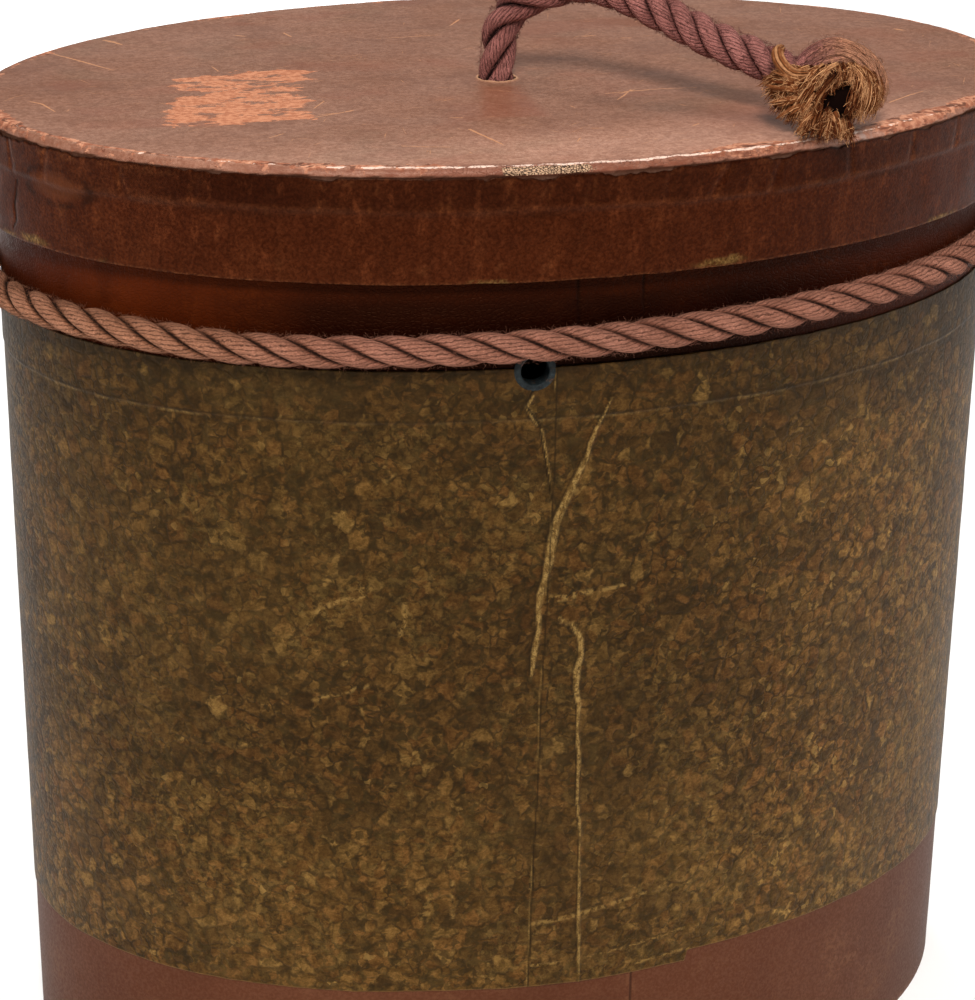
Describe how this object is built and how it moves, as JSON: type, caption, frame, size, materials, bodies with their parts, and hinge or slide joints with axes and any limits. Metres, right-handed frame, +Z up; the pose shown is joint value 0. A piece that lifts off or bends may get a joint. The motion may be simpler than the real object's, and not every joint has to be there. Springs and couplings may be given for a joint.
{
  "type": "hat box",
  "caption": "Oval board hat box covered in leathercloth and cork paper, with a lift-off lid, a rope round its neck, one metal eyelet and a knotted rope lift on the lid.",
  "frame": {"origin": "middle of the underside of the base", "axes": "+Z up; X along the long axis of the oval; the front, with the eyelet and the cork seam, faces -Y"},
  "size_m": [0.3772, 0.262, 0.3974],
  "materials": {
    "box_board": "matt pulp board",
    "leathercloth_lid": "worn matt leathercloth, scratched through to orange on the lid",
    "leathercloth_rim": "glossy dark red-brown leathercloth",
    "leathercloth_neck": "satin dark brown leathercloth",
    "leathercloth_base": "matt reddish-brown leathercloth",
    "cork_paper": "matt cork-flake paper",
    "lining_paper": "matt cream lining paper",
    "paper_tape": "matt gummed paper tape",
    "eyelet_metal": "dull blue-grey metal",
    "rope": "matt dusty rose-brown three-strand rope",
    "twine": "matt waxed twine",
    "frayed_fibre": "frayed golden fibre"
  },
  "bodies": {
    "box": {"wall_board": "box_board", "base_board": "box_board", "base_cover": "leathercloth_base", "base_band": "leathercloth_base", "cork_paper": "cork_paper", "neck_band": "leathercloth_neck", "wall_lining": "lining_paper", "base_lining": "lining_paper", "seam_tape": "paper_tape", "eyelet": "eyelet_metal", "eyelet_washer": "eyelet_metal", "neck_rope": "rope", "neck_rope_whipping": "twine"},
    "lid": {"lid_top_board": "box_board", "lid_rim_board": "box_board", "lid_top_cover": "leathercloth_lid", "lid_rim_cover": "leathercloth_rim", "lid_lining_disc": "lining_paper", "lid_rim_lining": "lining_paper", "lid_rope": "rope", "lid_rope_tail": "rope", "lid_stopper_knot": "rope", "lid_rope_end_knot": "frayed_fibre"}
  },
  "joints": [
    {"name": "lid_lift", "type": "slide", "parent": "box", "child": "lid", "axis": [0, 0, 1], "range_m": [0, 0.3]}
  ]
}
